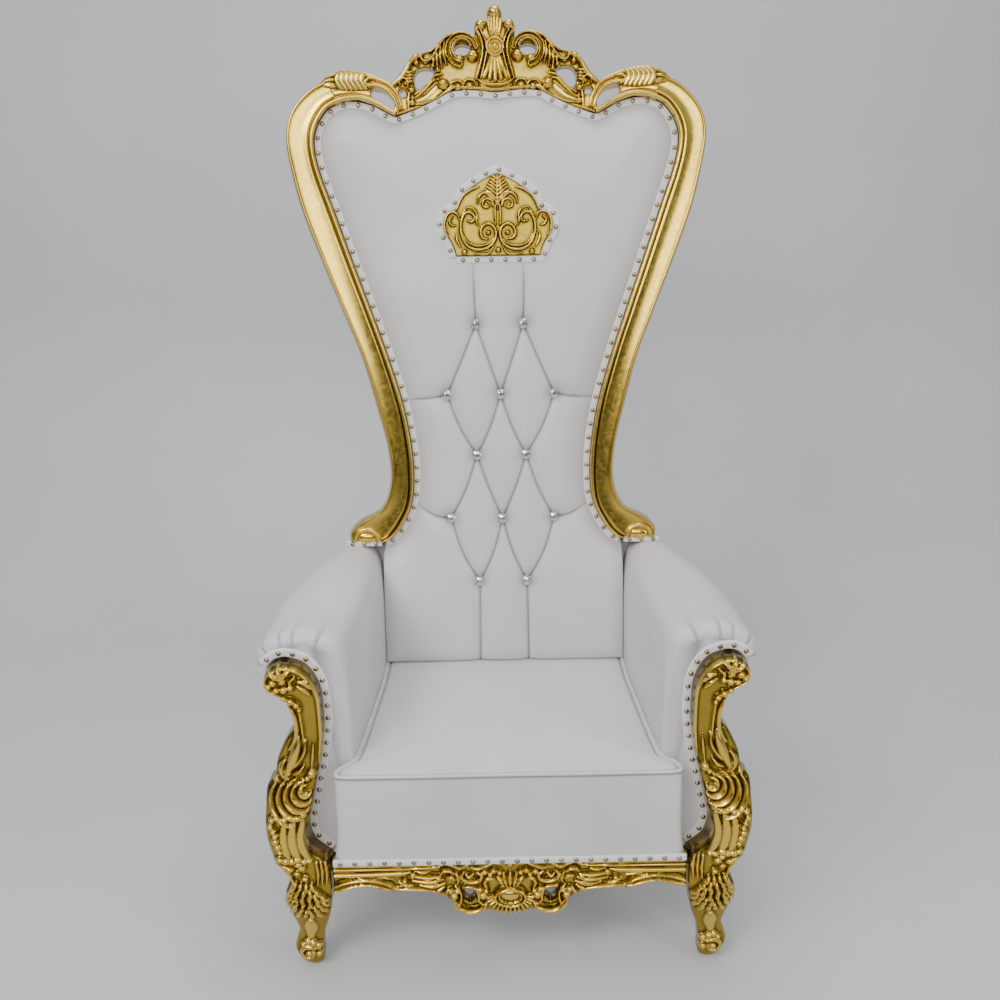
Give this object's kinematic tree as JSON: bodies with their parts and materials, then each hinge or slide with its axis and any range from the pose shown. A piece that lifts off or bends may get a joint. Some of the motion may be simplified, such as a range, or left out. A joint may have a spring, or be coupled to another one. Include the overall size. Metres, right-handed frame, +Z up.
{
  "type": "throne armchair",
  "caption": "High-back throne armchair: carved gilded frame and crest, tufted white leather back with crystal buttons, rolled arms, box seat and cabriole front legs.",
  "frame": {"origin": "on the floor, under the middle of the whole chair's box", "axes": "+Z up, the sitter faces -Y, +X to the right as the chair is seen from the front"},
  "size_m": [0.9, 0.7202, 1.8062],
  "materials": {
    "gold_leaf": "carved wood under bright gold leaf, polished on the raised parts and olive brown in the hollows",
    "white_leather": "white imitation leather, fine grain, satin",
    "white_braid": "flat white braid, matt",
    "crystal": "clear faceted crystal over a silvered back"
  },
  "bodies": {
    "root": {"back_frame": "gold_leaf", "back_pad": "white_leather", "back_panel": "white_leather", "plaque": "gold_leaf", "trim_back": "white_braid", "trim_plaque": "white_braid", "trim_left": "white_braid", "trim_right": "white_braid", "trim_apron": "white_braid", "seat_cushion": "white_leather", "arm_left": "white_leather", "arm_right": "white_leather", "post_left": "gold_leaf", "post_right": "gold_leaf", "apron": "gold_leaf", "seat_base": "white_leather", "rear_leg_left": "gold_leaf", "rear_leg_right": "gold_leaf", "button_01": "crystal", "button_02": "crystal", "button_03": "crystal", "button_04": "crystal", "button_05": "crystal", "button_06": "crystal", "button_07": "crystal", "button_08": "crystal", "button_09": "crystal", "button_10": "crystal", "button_11": "crystal", "button_12": "crystal"}
  },
  "joints": []
}
